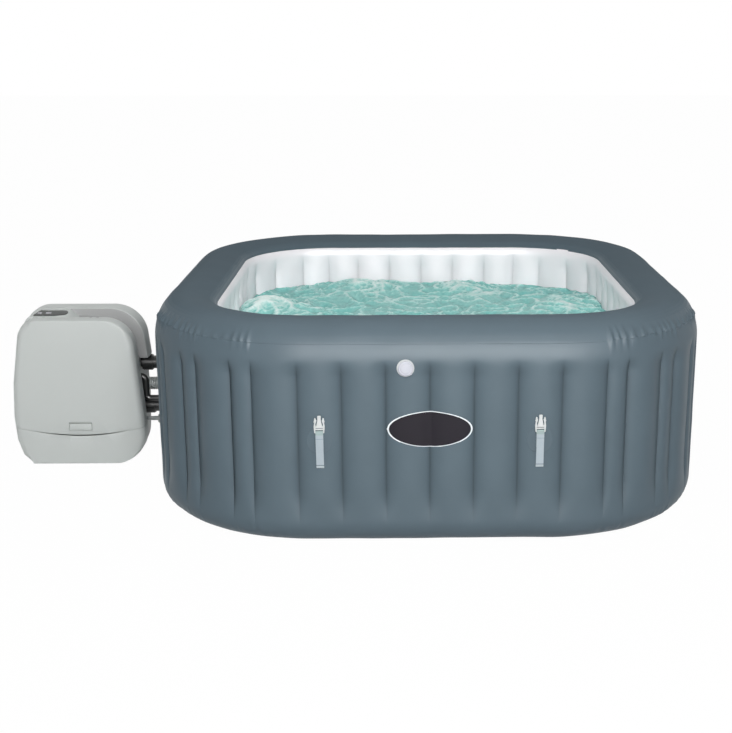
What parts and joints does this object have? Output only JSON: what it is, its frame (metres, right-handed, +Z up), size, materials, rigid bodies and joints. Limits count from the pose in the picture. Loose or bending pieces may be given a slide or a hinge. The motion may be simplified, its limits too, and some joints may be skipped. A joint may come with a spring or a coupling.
{
  "type": "inflatable hot tub",
  "caption": "Square inflatable hot tub with ribbed vinyl walls, rolled top edge, cover straps and an external pump and heater unit.",
  "frame": {"origin": "centre of the tub's underside, on the ground", "axes": "+X to the tub's right, away from the pump unit; +Y to the back; +Z up; the front wall with the badge faces -Y"},
  "size_m": [2.4014, 1.8316, 0.71],
  "materials": {
    "vinyl_shell": "soft sheen reinforced vinyl",
    "vinyl_liner": "smooth pale vinyl",
    "white_plastic": "satin moulded",
    "grey_plastic": "satin moulded",
    "black_plastic": "satin moulded",
    "webbing": "woven",
    "pump_shell": "fine moulded grain",
    "panel_gloss": "gloss",
    "steel": "plain",
    "rubber_feet": "matt",
    "filter_paper": "pleated"
  },
  "bodies": {
    "root": {"outer_skin": "vinyl_shell", "inner_skin": "vinyl_liner", "floor_liner": "vinyl_liner", "base_sheet": "vinyl_shell", "wall_webs": "vinyl_liner", "air_duct": "vinyl_liner", "jet_manifold": "black_plastic", "jet_bodies": "white_plastic", "water_ports": "black_plastic", "port_screens": "white_plastic", "valve_body": "white_plastic", "drain_port": "black_plastic", "strap_patches": "vinyl_shell", "strap_webbing": "webbing", "rear_housing": "pump_shell", "channel_frame": "pump_shell", "lower_front": "pump_shell", "hinge_pin": "steel", "control_panel": "panel_gloss", "control_board": "black_plastic", "pump_base": "pump_shell", "pump_feet": "rubber_feet", "filter_box": "grey_plastic", "filter_cartridges": "filter_paper", "circulation_pump": "black_plastic", "jet_pump": "black_plastic", "air_blower": "black_plastic", "heater_tube": "steel", "pump_spouts": "black_plastic", "jet_hose": "grey_plastic"},
    "nozzle_1": {"jet_nozzle_1": "grey_plastic"},
    "nozzle_2": {"jet_nozzle_2": "grey_plastic"},
    "nozzle_3": {"jet_nozzle_3": "grey_plastic"},
    "nozzle_4": {"jet_nozzle_4": "grey_plastic"},
    "nozzle_5": {"jet_nozzle_5": "grey_plastic"},
    "nozzle_6": {"jet_nozzle_6": "grey_plastic"},
    "nozzle_7": {"jet_nozzle_7": "grey_plastic"},
    "nozzle_8": {"jet_nozzle_8": "grey_plastic"},
    "valve_cap": {"valve_cap": "white_plastic"},
    "drain_cap": {"drain_cap": "black_plastic"},
    "buckle_1": {"buckle_1": "white_plastic"},
    "buckle_2": {"buckle_2": "white_plastic"},
    "buckle_3": {"buckle_3": "white_plastic"},
    "buckle_4": {"buckle_4": "white_plastic"},
    "buckle_5": {"buckle_5": "white_plastic"},
    "buckle_6": {"buckle_6": "white_plastic"},
    "buckle_7": {"buckle_7": "white_plastic"},
    "buckle_8": {"buckle_8": "white_plastic"},
    "cover": {"front_cover": "pump_shell", "latch_spring": "steel"},
    "button": {"latch_button": "pump_shell"},
    "nut_upper": {"union_nut_upper": "black_plastic"},
    "nut_lower": {"union_nut_lower": "black_plastic"},
    "nut_air": {"air_nut": "grey_plastic"}
  },
  "joints": [
    {"name": "nozzle_1_turn", "type": "hinge", "parent": "root", "child": "nozzle_1", "pos_m": [-0.198, -0.685, 0.255], "axis": [0, 0, 1], "range_deg": [-15, 15]},
    {"name": "nozzle_2_turn", "type": "hinge", "parent": "root", "child": "nozzle_2", "pos_m": [0.198, -0.685, 0.255], "axis": [0, 0, 1], "range_deg": [-15, 15]},
    {"name": "nozzle_3_turn", "type": "hinge", "parent": "root", "child": "nozzle_3", "pos_m": [0.685, -0.198, 0.255], "axis": [0, 0, 1], "range_deg": [-15, 15]},
    {"name": "nozzle_4_turn", "type": "hinge", "parent": "root", "child": "nozzle_4", "pos_m": [0.685, 0.198, 0.255], "axis": [0, 0, 1], "range_deg": [-15, 15]},
    {"name": "nozzle_5_turn", "type": "hinge", "parent": "root", "child": "nozzle_5", "pos_m": [0.198, 0.685, 0.255], "axis": [0, 0, 1], "range_deg": [-15, 15]},
    {"name": "nozzle_6_turn", "type": "hinge", "parent": "root", "child": "nozzle_6", "pos_m": [-0.198, 0.685, 0.255], "axis": [0, 0, 1], "range_deg": [-15, 15]},
    {"name": "nozzle_7_turn", "type": "hinge", "parent": "root", "child": "nozzle_7", "pos_m": [-0.685, 0.198, 0.255], "axis": [0, 0, 1], "range_deg": [-15, 15]},
    {"name": "nozzle_8_turn", "type": "hinge", "parent": "root", "child": "nozzle_8", "pos_m": [-0.685, -0.198, 0.255], "axis": [0, 0, 1], "range_deg": [-15, 15]},
    {"name": "buckle_1_tip", "type": "hinge", "parent": "root", "child": "buckle_1", "pos_m": [-0.33, -0.907, 0.372], "axis": [1, 0, 0], "range_deg": [0, 110]},
    {"name": "buckle_2_tip", "type": "hinge", "parent": "root", "child": "buckle_2", "pos_m": [0.33, -0.907, 0.372], "axis": [1, 0, 0], "range_deg": [0, 110]},
    {"name": "buckle_3_tip", "type": "hinge", "parent": "root", "child": "buckle_3", "pos_m": [0.907, -0.33, 0.372], "axis": [0, 1, 0], "range_deg": [0, 110]},
    {"name": "buckle_4_tip", "type": "hinge", "parent": "root", "child": "buckle_4", "pos_m": [0.907, 0.33, 0.372], "axis": [0, 1, 0], "range_deg": [0, 110]},
    {"name": "buckle_5_tip", "type": "hinge", "parent": "root", "child": "buckle_5", "pos_m": [0.33, 0.907, 0.372], "axis": [-1, 0, 0], "range_deg": [0, 110]},
    {"name": "buckle_6_tip", "type": "hinge", "parent": "root", "child": "buckle_6", "pos_m": [-0.33, 0.907, 0.372], "axis": [-1, 0, 0], "range_deg": [0, 110]},
    {"name": "buckle_7_tip", "type": "hinge", "parent": "root", "child": "buckle_7", "pos_m": [-0.907, 0.33, 0.372], "axis": [0, -1, 0], "range_deg": [0, 110]},
    {"name": "buckle_8_tip", "type": "hinge", "parent": "root", "child": "buckle_8", "pos_m": [-0.907, -0.33, 0.372], "axis": [0, -1, 0], "range_deg": [0, 110]},
    {"name": "valve_cap_turn", "type": "hinge", "parent": "root", "child": "valve_cap", "pos_m": [-0.0726, -0.908, 0.567], "axis": [0, -1, 0], "continuous": true},
    {"name": "drain_cap_turn", "type": "hinge", "parent": "root", "child": "drain_cap", "pos_m": [0.198, 0.908, 0.14], "axis": [0, 1, 0], "continuous": true},
    {"name": "nut_upper_turn", "type": "hinge", "parent": "root", "child": "nut_upper", "pos_m": [-1.03, 0.066, 0.337], "axis": [1, 0, 0], "continuous": true},
    {"name": "nut_lower_turn", "type": "hinge", "parent": "root", "child": "nut_lower", "pos_m": [-1.03, 0.066, 0.17], "axis": [1, 0, 0], "continuous": true},
    {"name": "nut_air_turn", "type": "hinge", "parent": "root", "child": "nut_air", "pos_m": [-0.993, 0.066, 0.117], "axis": [1, 0, 0], "continuous": true},
    {"name": "cover_lift", "type": "hinge", "parent": "root", "child": "cover", "pos_m": [-1.2485, -0.067, 0.534], "axis": [-1, 0, 0], "range_deg": [0, 75]},
    {"name": "latch_press", "type": "slide", "parent": "cover", "child": "button", "axis": [0, 1, 0], "range_m": [0, 0.003], "stiffness_N_per_m": 400, "springref_m": -0.002, "deforming": ["latch_spring"]}
  ]
}
